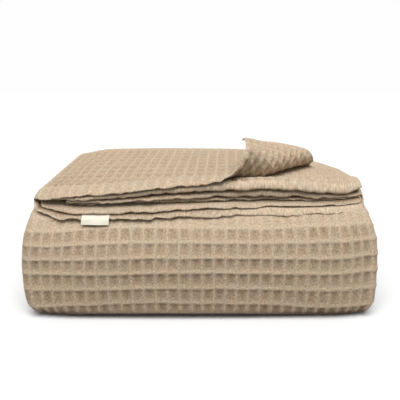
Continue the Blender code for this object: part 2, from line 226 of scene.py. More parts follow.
# Where it shows, in metres along the strip from a turn's start or before its end
TOP_MARGIN = 0.006
TOP_FADE = 0.008
BACK_WEAKER = 0.6  # how much weaker the relief is at the top's far end
BACK_WEAKER_START = 0.025  # before the first turn
BACK_WEAKER_LENGTH = 0.030
BELLY = (0.052, 0.131)  # on the rounded front
SHOULDER = (0.022, 0.060)  # above that, by SHOULDER_SHARE
SHOULDER_SHARE = 0.42
BACK = (0.034, 0.022)  # on the rounded back, from its start and before its end
TURN_FADE = 0.010
FOOT_START = 0.095  # on the rounded front, where the waffle gets flatter and a little darker with painted shade
FOOT_LENGTH = 0.030
FOOT_PRESSED = 0.35
# how much painted shade darkens the foot of the rounded front
FOOT_PAINTED_SHADE = 0.28
SIDES_SHARE = 0.20  # what the folds at the left and right show of it
SIDES_MORE = 0.35  # and how much more they show beside the belly and the back
SIDES_SLOPE = (1.4, -0.2)  # that share by how far the fold looks sideways
LAYER_1_FADE = 0.004
CREASE_FADE = 0.006
SECOND_SHARE = 0.6  # what layer 2 shows beside and under the turned corner
UNSEEN_SHOWS = 0.25  # the least relief of a place that never gets the painted shade between the hems

# How the weave wanders from straight: each noise's height, length across, length along, and seed
WANDER_ACROSS = ((0.0016, 0.07, 0.09, 11), (0.0006, 0.021, 0.024, 12))
WANDER_ALONG = ((0.0018, 0.08, 0.07, 13), (0.0006, 0.024, 0.021, 14))
WANDER_ROOM = 0.04  # from the sheet's edges to where it is free to wander
WANDER_FADE = 0.03
SKEW = 0.061  # of the weave on top, towards the right as it goes back
SKEW_MARGINS = (0.045, 0.035)  # from layer 1's free edge and from its fold
HANG_COLUMNS = ("x", "hang")  # how far the weave on the front hangs down
HANG_ROWS = (
    (-0.206, 0.0060), (-0.173, 0.0038), (-0.135, 0.0003), (-0.054, -0.0013),
    (-0.011, 0.0004), (0.032, 0.0004), (0.113, 0.0026), (0.206, 0.0034),
)

# ---- tables, noise and curves

ARC_STEPS = 24  # of a fold
TURN_STEPS = 60
BLUR_POINTS = 5
NOISE_SIZE = 64

Curve = namedtuple("Curve", "at rows")


def smooth(t):
    """A smooth step from 0 to 1 as t goes from 0 to 1."""
    t = np.clip(t, 0.0, 1.0)
    return t * t * (3 - 2 * t)


def between(at, start, end, fade):
    """1 between two places, and 0 outside them by more than fade."""
    return smooth((at - start) / fade + 1) * smooth((end - at) / fade + 1)


def share_between(ends, share):
    return ends[0] + (ends[1] - ends[0]) * share


def unit(rows):
    return rows / np.linalg.norm(rows, axis=1)[:, None]


def read_table(rows, columns, wanted, at, blur=0.0):
    """A table's column at a place in its first one, with the bends at its rows rounded by blur."""
    table = np.array(rows).T
    values = table[columns.index(wanted)]
    offsets = np.linspace(-blur, blur, BLUR_POINTS if blur else 1)
    return sum(np.interp(at + offset, table[0], values) for offset in offsets) / len(offsets)


def at_x(x, wanted):
    return read_table(ACROSS_ROWS, ACROSS_COLUMNS, wanted, x, ACROSS_BLUR)


def at_height(z, wanted):
    return read_table(HEIGHT_ROWS, HEIGHT_COLUMNS, wanted, z, HEIGHT_BLUR)


def at_free_end(x, wanted):
    return read_table(END_ROWS, END_COLUMNS, wanted, x, END_BLUR)


def noise(a, b, seed):
    """Smooth noise from -1 to 1 with a bump for about every unit of a and b."""
    table = np.random.default_rng(seed).uniform(-1.0, 1.0, (NOISE_SIZE, NOISE_SIZE))
    low_a, low_b = np.floor(a).astype(int), np.floor(b).astype(int)
    share_a, share_b = smooth(a - low_a), smooth(b - low_b)
    corners = [table[(low_a + i) % NOISE_SIZE, (low_b + j) % NOISE_SIZE] for i in (0, 1) for j in (0, 1)]
    ends = [share_between(pair, share_b) for pair in (corners[:2], corners[2:])]
    return share_between(ends, share_a)


def wave(kind, place, hem):
    """One of the waves along the hems, at a place along one of them."""
    return kind.height * noise(place / kind.length + kind.shift, hem * kind.apart, kind.seed)


def with_lengths(parts):
    """(curve of all the parts' rows by length, the length at which each part starts and ends)."""
    rows = np.vstack(parts)
    lengths = np.append(0.0, np.cumsum(np.hypot(*np.diff(rows[:, :2], axis=0).T)))
    ends = np.cumsum([len(part) for part in parts])
    spans = [(lengths[end - len(part)], lengths[end - 1]) for part, end in zip(parts, ends)]
    return Curve(lengths, rows), spans


def read_curve(curve, at):
    return [np.interp(at, curve.at, column) for column in curve.rows.T]


# ---- the sheet across: a line in (x, n)


def layer_height(layer):
    return ((LAYERS + 1) / 2 - layer) * LAYER_PITCH


def fold_rows(x, upper, lower, start, sweep):
    """Rows (x, n, face_x, face_n, layer) round the fold between two layers, as in part.py."""
    middle = (layer_height(upper) + layer_height(lower)) / 2
    radius = (layer_height(upper) - layer_height(lower)) / 2
    first, last = (upper, lower) if start > 0 else (lower, upper)
    share = np.linspace(0.0, 1.0, ARC_STEPS + 1)
    angle = np.radians(start + sweep * share)
    cos, sin = np.cos(angle), np.sin(angle)
    face = math.copysign(1, sweep)
    layer = first + (last - first) * share
    return np.column_stack([x + radius * cos, middle + radius * sin, face * cos, face * sin, layer])


def section_parts():
    """The folds across the sheet in order, between its two free edges."""
    left = -HALF_WIDTH + layer_height(1) + CLOTH / 2
    right = HALF_WIDTH - (layer_height(3) - layer_height(6)) / 2 - CLOTH / 2
    return (
        np.array([(TOP_LAYER_EDGE, layer_height(1), 0.0, 1.0, 1)]),
        fold_rows(left, 1, 6, 90, 180),
        fold_rows(right, 3, 6, -90, 180),
        fold_rows(HALF_FOLD, 3, 4, 90, 180),
        fold_rows(right, 4, 5, 90, -180),
        fold_rows(left + INNER_FOLD_SETBACK, 2, 5, -90, -180),
        np.array([(SECOND_LAYER_EDGE, layer_height(2), 0.0, -1.0, 2)]),
    )


SECTION, SECTION_SPANS = with_lengths(section_parts())
WIDTH = SECTION.at[-1]
LAYER_1_END = SECTION_SPANS[1][0]
OUTSIDE_END = SECTION_SPANS[2][1] + 0.001  # of what forms the outside of a pass, with a margin
LAYER_2_START = SECTION_SPANS[5][1]

# ---- the strip along: a line in (y, z)


def slot_height(slot):
    return (slot - 0.5) * STRIP


def strips_across(turn):
    return abs(turn.from_slot - turn.to_slot) + 1


def turn_centre(turn):
    """(y, z) of the middle of a turn, as in part.py."""
    outermost = turn
    if turn.from_slot != PASSES:
        peers = [peer for peer in TURNS if peer.end == turn.end and peer.from_slot != PASSES]
        outermost = max(peers, key=strips_across)
    y = DEPTH / 2 - strips_across(outermost) / 2 * STRIP
    z = (slot_height(turn.from_slot) + slot_height(turn.to_slot)) / 2
    return (y if turn.end == "back" else -y), z


def quarter(power):
    """Angles from 0 to 90 degrees that space the points of a squarish quarter circle evenly."""
    share = np.linspace(0.0, 1.0, TURN_STEPS // 2)[:-1]
    rising = math.pi / 4 * share ** (power / 2)
    return np.concatenate([rising, math.pi / 2 - rising[:0:-1], [math.pi / 2]])


def turn_rows(turn):
    """Rows (y, z, normal_y, normal_z) round a turn of the strip, as in part.py."""
    centre_y, centre_z = turn_centre(turn)
    radius = (strips_across(turn) - 1) / 2 * STRIP
    outwards = 1 if turn.end == "back" else -1
    up_first = 1 if turn.from_slot > turn.to_slot else -1
    powers = (turn.upper_squareness, turn.lower_squareness)[::up_first]
    halves = []
    for power, mirrored in zip(powers, (False, True)):
        angle = quarter(power)
        out = np.sin(angle) ** (2 / power)
        up = np.abs(np.cos(angle)) ** (2 / power)
        up_sign = -up_first if mirrored else up_first
        y, z = centre_y + outwards * radius * out, centre_z + up_sign * radius * up
        normal_y, normal_z = outwards * out ** (power - 1), up_sign * up ** (power - 1)
        rows = np.column_stack([y, z, normal_y, normal_z])
        halves.append(rows[::-1][1:] if mirrored else rows)
    rows = np.vstack(halves)
    side = outwards * up_first
    rows[:, 2:] *= side / np.hypot(rows[:, 2], rows[:, 3])[:, None]
    return rows


def path_parts():
    start = np.array([(FREE_END, slot_height(PASSES), 0.0, 1.0)])
    middle = [turn_rows(turn) for turn in TURNS]
    end = middle[-1][-1:].copy()
    end[0, 0] = END_INSIDE
    return [start, *middle, end]


PATH, PATH_SPANS = with_lengths(path_parts())
LENGTH = PATH.at[-1]
TURN_SPANS = dict(zip("ABCDEF", PATH_SPANS[1:-1]))
TOP_TURN, FRONT_TURN, BACK_TURN = (TURN_SPANS[name] for name in "ABC")


def weave_lengths():
    """How far each row of the path is along the weave from the front turn, in the layer that shows."""
    on_top = PATH.at < (TOP_TURN[1] + FRONT_TURN[0]) / 2
    n = (layer_height(1) + CLOTH / 2) * np.where(on_top, 1, -1)
    surface = PATH.rows[:, :2] + n[:, None] * PATH.rows[:, 2:]
    steps = np.hypot(*np.diff(surface, axis=0).T)
    crossing = np.flatnonzero(np.diff(on_top))
    steps[crossing] = np.diff(PATH.at)[crossing]
    steps[PATH.at[1:] <= TOP_TURN[0]] /= STRETCH_ON_TOP
    lengths = np.append(0.0, np.cumsum(steps))
    return lengths - np.interp(FRONT_TURN[0], PATH.at, lengths)


WEAVE = weave_lengths()


def lattice(start, end, pitch, shift, steps):
    """(places from start to end, how many cells each is from the ridge at shift)."""
    cells = np.arange(math.floor((start - shift) / pitch), math.ceil((end - shift) / pitch))
    places = shift + (cells[:, None] + np.array(steps)[None, :]).ravel() * pitch
    closest = pitch / 12  # to the sheet's edge
    inside = (places > start + closest) & (places < end - closest)
    places = np.concatenate([[start], places[inside], [end]])
    return places, (places - shift) / pitch


U_LINES, U_CELLS = lattice(0.0, WIDTH, CELL_ACROSS, ACROSS_SHIFT, STEPS_ACROSS)
WEAVE_LINES, V_CELLS = lattice(WEAVE[0], WEAVE[-1], CELL_ALONG, ALONG_SHIFT, STEPS_ALONG)
V_LINES = np.interp(WEAVE_LINES, WEAVE, PATH.at)

# ---- how the folded cloth settles


def shoulder_drop(y):
    """How far the rounded front has fallen away below its top at y."""
    front = TURNS[1]
    reach = strips_across(front) / 2 * STRIP
    power = front.upper_squareness
    share = np.clip((FRONT_CENTRE - y) / reach, 0.0, STEEPEST)
    return reach * (1 - (1 - share**power) ** (1 / power))


def layer_faces():
    """Heights over the pass's floor of the two faces of each layer, from the bottom up."""
    middles = [STRIP / 2 + layer_height(layer) for layer in range(LAYERS, 0, -1)]
    return np.array([middle + side * CLOTH / 2 for middle in middles for side in (-1, 1)])


def pucker(x, number):
    """How a gap between the hems goes up and down along the free end."""
    return wave(PUCKER, x, number) * smooth((x + HALF_WIDTH) / CALM_SIDES)


def end_faces(x):
    """Heights of the same faces at the free end, at each x: the hems, with a gap between them."""
    gaps = [at_free_end(x, name) + pucker(x, number) for number, name in enumerate(GAP_COLUMNS)]
    halves = [END_GAP / 2] * len(gaps)
    halves[GAP_COLUMNS.index("under_2")] += OPENING * smooth((x - OPENING_START) / OPENING_LENGTH)
    lower, faces = gaps[-1], []
    for number in range(len(gaps) - 2, -1, -1):
        upper = np.maximum(gaps[number], lower + END_GAP + THINNEST_HEM)
        faces += [lower + halves[number + 1], upper - halves[number]]
        lower = upper
    return np.array(faces)


def end_height(x, height):
    """Where the height of a place in the topmost pass goes at the free end."""
    known, faces = layer_faces(), end_faces(x)
    segment = np.clip(np.searchsorted(known, height) - 1, 0, len(known) - 2)
    ends = [np.take_along_axis(faces, segment[None] + i, axis=0)[0] for i in (0, 1)]
    share = (height - known[segment]) / (known[segment + 1] - known[segment])
    return np.where(height > known[-1], faces[-1] + height - known[-1], share_between(ends, share))


def spread_end(x, y, z):
    """Fans the topmost pass out towards its free end and drapes that end over the rounded front."""
    floor = (PASSES - 1) * STRIP
    share = smooth((FAN_START - y) / FAN_LENGTH)
    height = z - floor
    flat = np.minimum(height, STRIP) * at_x(x, "flat_thickness") + np.maximum(height - STRIP, 0.0)
    raised = flat + (end_height(x, height) - flat) * share
    spread_y = y - at_x(x, "forward") * share
    spread_z = floor + raised - shoulder_drop(y)
    above = z >= floor
    return x, np.where(above, spread_y, y), np.where(above, spread_z, z)


def slump(x, y, z):
    """Presses the bottom together, and makes the corners of the front and back higher or lower."""
    z = z - (LAYER_PITCH - CLOTH) / 2
    z = z - PRESSED_SHARE * z * np.maximum(1 - z / PRESSED_HEIGHT, 0.0) ** 2
    front = np.clip(y / FRONT_CENTRE, 0.0, 1.0)
    back = np.maximum(y / (DEPTH / 2), 0.0)
    factor = 1 + (at_x(x, "front_height") - 1) * front + (at_x(x, "back_height") - 1) * back
    return x, y, z * factor


def round_sides(x, y, z):
    """Draws the sides in by height, rounds the ends of the front and back, and bulges the bottom."""
    reach = np.where(x < 0, at_height(z, "left"), at_height(z, "right"))
    drawn_in = (HALF_WIDTH - reach) * at_x(x, "drawn_in")
    depth = (1 - at_x(x, "rounded") * at_height(z, "rounding")) * (1 + at_height(z, "bulge"))
    return x - np.copysign(drawn_in, x), y * depth, z


def settle(x, y, z):
    return np.column_stack(round_sides(*slump(*spread_end(x, y, z))))


# ---- the corner turned back


CREASE_LENGTH = np.linalg.norm(CREASE_END - CREASE_START)
CREASE_ALONG = (CREASE_END - CREASE_START) / CREASE_LENGTH
CREASE_OUT = np.array((CREASE_ALONG[1], -CREASE_ALONG[0]))  # level, from it to the corner


def edge_lift(x, y):
    """How far layer 1 is lifted near its front edge, where the corner starts to turn."""
    return LIFT * smooth((x - LIFT_LEFT) / LIFT_LENGTH) * smooth((LIFT_BACK - y) / LIFT_DEPTH)


def crest_lift(share, from_crease):
    """How far the turned corner's roll stands off layer 2, more and more towards the crease's end."""
    return CREST_LIFT * smooth(share) * smooth(from_crease / CREST_LENGTH + 1)


def curl_corner(x, y, z):
    """Lifts layer 1's front edge and rolls what lies beyond the crease up and back over itself."""
    sheet = slot_height(PASSES) + layer_height(1)
    over = z - sheet
    from_start = np.array((x - CREASE_START[0], y - CREASE_START[1]))
    from_crease = CREASE_OUT @ from_start
    beyond = np.maximum(from_crease, 0.0)
    share = np.clip(CREASE_ALONG @ from_start / CREASE_LENGTH, 0.0, 1.0)
    radius = share_between(CURL_RADII, share)
    angle = np.minimum(beyond / radius, share_between(CURL_ANGLES, share))
    turned = angle + (beyond - angle * radius) * CURL_BEND
    bend = 1 / CURL_BEND
    level = (radius - bend) * np.sin(angle) + (bend - over) * np.sin(turned) - beyond
    height = radius + (bend - radius) * np.cos(angle) - (bend - over) * np.cos(turned)
    lift = edge_lift(x, y) + crest_lift(share, from_crease)
    return x + CREASE_OUT[0] * level, y + CREASE_OUT[1] * level, sheet + height + lift


def crease_distance(u, v):
    """How far beyond the turned corner's crease a place of layer 1 or the same place of layer 2 is."""
    x, y = TOP_LAYER_EDGE - u - CREASE_START[0], FREE_END + v - CREASE_START[1]
    return x * CREASE_OUT[0] + y * CREASE_OUT[1]


# ---- the surface of the cloth


def from_edges(u, v):
    """How far a place is from the sheet's nearer edge across, and along."""
    return np.minimum(u, WIDTH - u), np.minimum(v, LENGTH - v)


def hem_share(u, v, side):
    """1 in the hems round the sheet and 0 inside them."""
    inside = np.minimum(*(far - wide for far, wide in zip(from_edges(u, v), HEM_WIDTH[side])))
    return smooth((HEM_FADE / 2 - inside) / HEM_FADE)


def nose(u, v):
    """How thick the hem is, as a share, where it rounds off to the sheet's edge."""
    inwards = np.clip(np.minimum(*from_edges(u, v)) / NOSE, 0.0, 1.0)
    return NOSE_SHARE + (1 - NOSE_SHARE) * np.sqrt(1 - (1 - inwards) ** 2)


def on_front(v, stretch):
    """1 in a stretch of the rounded front, and 0 outside it."""
    return between(v, FRONT_TURN[0] + stretch[0], FRONT_TURN[0] + stretch[1], TURN_FADE)


def showing(u, v, side):
    """How much of the waffle's relief each place shows, from 0 where layers press on each other."""
    x, _, face_x, face_n, _ = read_curve(SECTION, u)
    top = between(v, 0.0, TOP_TURN[1] - TOP_MARGIN, TOP_FADE)
    top = top * (1 - BACK_WEAKER * smooth((v - TOP_TURN[0] + BACK_WEAKER_START) / BACK_WEAKER_LENGTH))
    if side > 0:
        front = np.maximum(on_front(v, BELLY), SHOULDER_SHARE * on_front(v, SHOULDER))
        back = between(v, BACK_TURN[0] + BACK[0], BACK_TURN[1] - BACK[1], TURN_FADE)
        turned = np.maximum(front, back)
        sideways = smooth(np.abs(face_x) * SIDES_SLOPE[0] + SIDES_SLOPE[1])
        faces = np.where(face_n > 0, top * face_n, turned * face_n**2)
        shows = np.maximum(faces, sideways * (SIDES_SHARE + SIDES_MORE * turned))
        return np.where(u < OUTSIDE_END, shows, 0.0)
    flap = between(u, 0.0, LAYER_1_END, LAYER_1_FADE) * top * smooth(crease_distance(u, v) / CREASE_FADE)
    beside_flap = smooth((x - TOP_LAYER_EDGE) / CREASE_FADE + 0.5)
    under_flap = smooth(crease_distance(TOP_LAYER_EDGE - x, v) / CREASE_FADE)
    second = np.where(u > LAYER_2_START, np.maximum(top * beside_flap, top * under_flap), 0.0)
    return np.maximum(flap, SECOND_SHARE * second)


def waffle(u_cells, v_cells, side, weave):
    """Height of the waffle's relief, from 0 in the deepest hollow to 1 on the ridges."""
    across, along = u_cells % 1.0, v_cells % 1.0
    if side < 0:
        across, along = (u_cells + 0.5) % 1.0, (REVERSE_RIDGES * v_cells + 0.5) % 1.0
    from_ridge = 2 * np.minimum(across, 1 - across)
    above = weave["cross_ridge"] * read_table(SLOPE_ROWS, SLOPE_COLUMNS, "height", along)
    beside = weave["side_ridge"] * (1 - from_ridge) ** weave["side_sharpness"]
    return (beside**RIDGE_BLEND + above**RIDGE_BLEND) ** (1 / RIDGE_BLEND)


def relief(u, v, u_cells, v_cells, side):
    """(height over the cloth's middle, painted shade: 1 on ridges, 0 in hollows, -1 deep between hems)."""
    shows = showing(u, v, side)
    hem = hem_share(u, v, side)
    on_top = v < TOP_TURN[1]
    weave_on_top = WEAVE_TOP if side > 0 else WEAVE_REVERSE
    weave = {name: np.where(on_top, *pair) for name, *pair in zip(WEAVE_COLUMNS, weave_on_top, WEAVE_FRONT)}
    shape = np.minimum(waffle(u_cells, v_cells, side, weave), 1.0)
    shape = 1 - (1 - shape) * (1 + UNEVEN * noise(u_cells + 0.5, v_cells + 0.5, UNEVEN_SEED + side))
    amount = shows * (1 - hem * (1 - HEM_RELIEF))
    open_height = CLOTH / 2 + RIDGE - (RIDGE + HOLLOW) * weave["depth"] * (1 - shape)
    closed_height = CLOTH / 2 + (THIN - CLOTH / 2) * (1 - np.maximum(shows, hem))
    foot = smooth((v - FRONT_TURN[0] - FOOT_START) / FOOT_LENGTH) * (v < FRONT_TURN[1])
    height = closed_height + (open_height - closed_height) * amount * (1 - FOOT_PRESSED * foot)
    unseen = 1 - np.minimum(shows / UNSEEN_SHOWS, 1.0)
    # painted shade: darker in the hollows, deep between the hems, and towards the foot of the rounded front
    shade = 1 - amount * (1 - shape) - 2 * painted_gap_shade(u, v, side) * unseen - FOOT_PAINTED_SHADE * foot * shows
    return height * nose(u, v), shade


def hem_setback(layer, x):
    """How far back a layer's hem is at the free end."""
    by_layer = np.interp(layer, np.arange(LAYERS) + 1, HEM_SETBACK)
    forward = smooth(layer - (LAYERS - 1)) * at_free_end(x, "forward")
    return by_layer * at_free_end(x, "setback") - forward


def painted_gap_shade(u, v, side):
    """Where shade is painted between the free end's hems: 1 where a place is deep between two of them, and
    0 out in the light.
    """
    x, _, _, face_n, layer = read_curve(SECTION, u)
    covered_from = np.maximum(hem_setback(layer - 1, x) - hem_setback(layer, x), 0.0)
    facing_up = side * face_n > 0
    start = np.where(facing_up, covered_from, 0.0) + TUCK_START
    open_top = facing_up & (layer < 1.5)
    by_corner = smooth(crease_distance(TOP_LAYER_EDGE - x, v) / CORNER_LIGHT + 1)
    lit = np.where((side < 0) & (layer < 2.5), by_corner, 0.0)
    return np.where(open_top, 0.0, smooth((v - start) / TUCK_FADE)) * (1 - lit)


def added_noise(rows, u, v):
    return sum(height * noise(u / across, v / along, seed) for height, across, along, seed in rows)


def wander(u, v):
    """How far the weave has wandered from straight, across and along."""
    room = math.prod(smooth(far / WANDER_ROOM) for far in from_edges(u, v))
    on_top = between(u, SKEW_MARGINS[0], LAYER_1_END - SKEW_MARGINS[1], WANDER_FADE)
    on_top = on_top * between(v, 0.0, TOP_TURN[0], WANDER_FADE)
    hanging = between(v, FRONT_TURN[0] + WANDER_FADE, FRONT_TURN[1] - WANDER_FADE, WANDER_FADE)
    skew = SKEW * (TOP_TURN[0] / 2 - v) * on_top
    x = read_curve(SECTION, u)[0]
    hang = read_table(HANG_ROWS, HANG_COLUMNS, "hang", x, ACROSS_BLUR) * hanging
    across, along = (room * added_noise(rows, u, v) for rows in (WANDER_ACROSS, WANDER_ALONG))
    return across + skew, along + hang


def hem_waves(u, v, layer):
    """How far the free end's hems stand forward or back."""
    return sum(wave(kind, u, np.round(layer)) * smooth(1 - v / reach) for kind, reach in FORWARD_WAVES)


def scallops(u, v, layer, x):
    """How far up the hem's very edge goes at each yarn of its seam."""
    near = smooth(1 - v / END_BAND) * smooth((HALF_WIDTH - np.abs(x)) / CALM_SIDES)
    return wave(SCALLOPS, u, np.round(layer)) * near


def cloth_points(u, v, u_cells, v_cells, side):
    """(points of the sheet's surface, and for each its place in the weave and its painted shade).

    The height is added to the place along, so that the yarn isn't stretched on the cells' steep sides.
    """
    height, shade = relief(u, v, u_cells, v_cells, side)
    du, dv = wander(u, v)
    x, n, face_x, face_n, layer = read_curve(SECTION, np.clip(u + du, 0.0, WIDTH))
    y, z, normal_y, normal_z = read_curve(PATH, np.clip(v + dv, 0.0, LENGTH))
    y = y + hem_setback(layer, x) * smooth(1 - v / HEM_WIDTH[1][1]) + hem_waves(u, v, layer)
    reach = side * height
    x, n = x + reach * face_x, n + reach * face_n
    y, z = y + normal_y * n, z + normal_z * n
    turned = (u < LAYER_1_END) & (v < TOP_TURN[0])
    curled = curl_corner(x, y, z)
    x, y, z = (np.where(turned, new, old) for new, old in zip(curled, (x, y, z)))
    points = settle(x, y, z)
    points[:, 2] += scallops(u, v, layer, x)
    return points, np.column_stack([u, np.interp(v, PATH.at, WEAVE) + reach, shade])


# ---- the cloth's mesh

# The sheet has bands across it and stretches along it. Where it shows it has points on every line of
# the weave, and where it is hidden fewer: strides count lines, across and along.
ACROSS_BANDS = (
    "layer 1", "left outer", "layer 6", "right outer", "layer 3", "half", "layer 4", "right inner",
    "layer 5", "left inner", "layer 2",
)
SHOWN = {  # the stretches in which a band shows, all on side 1
    "layer 1": ("pass 1", "turn A"),
    "left outer": ("pass 1", "turn A", "turn B", "turn C"),
    "layer 6": ("turn B", "turn C"),
    "right outer": ("pass 1", "turn B", "turn C"),
}
HIDDEN_ACROSS = {"layer": 21, "fold": 3}
HIDDEN_ALONG = {"pass": 18, "turn": 4}
SHOWN_STRIDES = (1, 1)
END_STRIDES = (1, 2)
SLANT_STRIDES = (2, 2)  # under layer 1, where it is seen at a slant
OUTER_FOLD_STRIDES = (3, 3)
END_BAND = 0.005  # of the free end, where every layer's hem shows
COVERED = {"B": (0.024, 0.036), "C": (0.015, 0.022)}  # of a turn's start and end, under other cloth
LIFTED_MARGIN = 0.02  # how far before the lift of layer 1 its underside can be seen
UNDER_MARGIN = 0.005  # and layer 2 below it, before the crease


def line_near(lines, place):
    return int(np.argmin(np.abs(lines - place)))


def across_bands():
    """{name: (first line, last line)} of the bands across the sheet."""
    edges = [0.0]
    for start, end in SECTION_SPANS[1:-1]:
        edges += [start, end]
    lines = [line_near(U_LINES, edge) for edge in edges] + [len(U_LINES) - 1]
    return dict(zip(ACROSS_BANDS, zip(lines, lines[1:])))


def along_bands():
    """[(name, first line, last line)] of the stretches along the sheet."""
    starts = {"end": 0.0, "pass 1": END_BAND}
    for number, (name, (start, end)) in enumerate(TURN_SPANS.items(), 2):
        if name in COVERED:
            starts["turn start " + name] = start
            starts["turn " + name] = start + COVERED[name][0]
            starts["turn end " + name] = end - COVERED[name][1]
        else:
            starts["turn " + name] = start
        starts["pass %d" % number] = end
    lines = [line_near(V_LINES, start) for start in starts.values()] + [len(V_LINES) - 1]
    return list(zip(starts, lines, lines[1:]))


def strides(side, across, along):
    if side > 0 and along in SHOWN.get(across, ()):
        return SHOWN_STRIDES
    if along == "end":
        return END_STRIDES
    if across in ("left outer", "right outer"):
        return OUTER_FOLD_STRIDES
    kind = "layer" if across.startswith("layer") else "fold"
    return HIDDEN_ACROSS[kind], HIDDEN_ALONG[along.split()[0]]


def block_edges(first, last, stride):
    return np.unique(np.append(np.arange(first, last, stride), last))


def blocks():
    """(side, lines across, lines along) of each block of the two sides' cells."""
    flap = line_near(U_LINES, TOP_LAYER_EDGE - CREASE_START[0])
    lifted = line_near(U_LINES, TOP_LAYER_EDGE - LIFT_LEFT + LIFTED_MARGIN)
    under = line_near(U_LINES, WIDTH - SECOND_LAYER_EDGE + CREASE_START[0] - UNDER_MARGIN)
    for side in (1, -1):
        for across, (left, right) in across_bands().items():
            for along, near, far in along_bands():
                usual = strides(side, across, along)
                parts = [(left, right, usual)]
                if (side, across, along) == (-1, "layer 1", "pass 1"):
                    parts = [(left, flap, SHOWN_STRIDES), (flap, lifted, SLANT_STRIDES)]
                    parts.append((lifted, right, usual))
                elif (side, across, along) == (-1, "layer 2", "pass 1"):
                    parts = [(left, under, usual), (under, right, SLANT_STRIDES)]
                for first, last, (stride_u, stride_v) in parts:
                    yield side, block_edges(first, last, stride_u), block_edges(near, far, stride_v)


def used_points(all_blocks):
    """Which (side, line across, line along) are corners of a block's cell."""
    used = np.zeros((2, len(U_LINES), len(V_LINES)), bool)
    for side, lines_u, lines_v in all_blocks:
        used[(1 - side) // 2][np.ix_(lines_u, lines_v)] = True
    for edge in (0, -1):
        used[:, :, edge] = used[:, :, edge].any(axis=0)
        used[:, edge, :] = used[:, edge, :].any(axis=0)
    return used


def ring_of(index, left, right, near, far):
    """The used points round a cell, so that cells of different sizes meet without a gap."""
    there = index[left:right, near], index[right, near:far]
    back = index[right:left:-1, far], index[left, far:near:-1]
    ring = np.concatenate([*there, *back])
    return ring[ring >= 0].tolist()


def side_faces(all_blocks, index):
    faces = []
    for side, lines_u, lines_v in all_blocks:
        grid = index[(1 - side) // 2]
        for left, right in zip(lines_u, lines_u[1:]):
            for near, far in zip(lines_v, lines_v[1:]):
                ring = ring_of(grid, left, right, near, far)
                faces.append(ring[::-1] if side > 0 else ring)
    return faces


def boundary(used):
    """(lines across, lines along) of the used places round the sheet's edge, in order."""
    last_u, last_v = len(U_LINES) - 1, len(V_LINES) - 1
    loop = [(i, 0) for i in range(last_u)]
    loop += [(last_u, j) for j in range(last_v)]
    loop += [(i, last_v) for i in range(last_u, 0, -1)]
    loop += [(0, j) for j in range(last_v, 0, -1)]
    return np.array([place for place in loop if used[0][place]]).T


def surface_at(i, j, inset=0.0):
    """Points of both sides at lines i and j, or that far inside the sheet's edge."""
    u, v = np.clip(U_LINES[i], inset, WIDTH - inset), np.clip(V_LINES[j], inset, LENGTH - inset)
    return [cloth_points(u, v, U_CELLS[i], V_CELLS[j], face) for face in (1, -1)]


def edge_points(i, j):
    """The middle row of the sheet's edge, which stands out in a round hem."""
    (side_a, cloth_a), (side_b, cloth_b) = surface_at(i, j)
    inner_a, inner_b = (points for points, _ in surface_at(i, j, EDGE_INSET))
    middle, inner = (side_a + side_b) / 2, (inner_a + inner_b) / 2
    out = unit(middle - inner)
    thickness = np.linalg.norm(side_a - side_b, axis=1)[:, None]
    return middle + out * thickness * EDGE_ROUND, (cloth_a + cloth_b) / 2


def edge_faces(index, places, first):
    """Two rows of faces round the sheet's edge, about its middle row, which starts at point first."""
    i, j = places
    rows = [index[0][i, j], first + np.arange(len(i)), index[1][i, j]]
    faces = []
    for upper, lower in zip(rows, rows[1:]):
        faces += np.column_stack([upper, np.roll(upper, -1), np.roll(lower, -1), lower]).tolist()
    return faces


def build_cloth():
    """(points, their places in the weave and painted shades, faces) of the whole sheet."""
    all_blocks = list(blocks())
    used = used_points(all_blocks)
    index = np.full(used.shape, -1)
    index[used] = np.arange(used.sum())
    parts = []
    for face, side in enumerate((1, -1)):
        i, j = np.nonzero(used[face])
        parts.append(cloth_points(U_LINES[i], V_LINES[j], U_CELLS[i], V_CELLS[j], side))
    places = boundary(used)
    parts.append(edge_points(*places))
    faces = side_faces(all_blocks, index) + edge_faces(index, places, int(used.sum()))
    points, cloth = (np.vstack(rows) for rows in zip(*parts))
    return points, cloth, faces


def new_object(name, data, place=(0, 0, 0), turn=(0, 0, 0)):
    made = bpy.data.objects.new(name, data)
    made.location = place
    made.rotation_euler = turn
    bpy.context.scene.collection.objects.link(made)
    return made


def mesh_object(name, points, faces, finish):
    mesh = bpy.data.meshes.new(name)
    mesh.from_pydata(points.tolist(), [], faces)
    mesh.materials.append(finish)
    mesh.shade_smooth()
    return new_object(name, mesh)


def add_blanket(finish):
    points, cloth, faces = build_cloth()
    blanket = mesh_object("waffle_cloth", points, faces, finish)
    attribute = blanket.data.attributes.new("cloth", "FLOAT_VECTOR", "POINT")
    attribute.data.foreach_set("vector", cloth.ravel())
    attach(blanket, "root")
    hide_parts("blanket")


# ---- the label

LABEL_LEFT = -0.136
LABEL_RIGHT = -0.104
LABEL_THICKNESS = 0.0004
LABEL_TUCK = 0.006  # its length between the hems
LABEL_LIP = 0.0012  # straight out over the lower one
LABEL_DROP = 0.0068  # hanging down
LABEL_SLOPE = math.radians(64)
LABEL_COLUMNS = 24  # of its points
LABEL_ROWS = 20
LABEL_BEND = 0.0016  # radius at which it turns down over the hem
LABEL_WAVE = 0.0005
LABEL_HALF_WAVES = 2.4  # over its width
LABEL_PHASE = 0.6
LABEL_SHARP = math.radians(60)  # edges sharper than this aren't shaded round


def label_line(x):
    """The ribbon's middle line at x, from its tucked end over the hem and down the front."""
    gap = slot_height(PASSES) + (layer_height(5) + layer_height(6)) / 2
    front = FREE_END - at_free_end(x, "forward")
    tucked, hem = settle(np.array([x, x]), np.array([front + LABEL_TUCK, front]), np.array([gap, gap]))
    lip = hem + (hem - tucked) / np.linalg.norm(hem - tucked) * LABEL_LIP
    down = np.array((0.0, -math.cos(LABEL_SLOPE), -math.sin(LABEL_SLOPE)))
    return np.array([tucked, hem, lip, lip + down * LABEL_DROP])


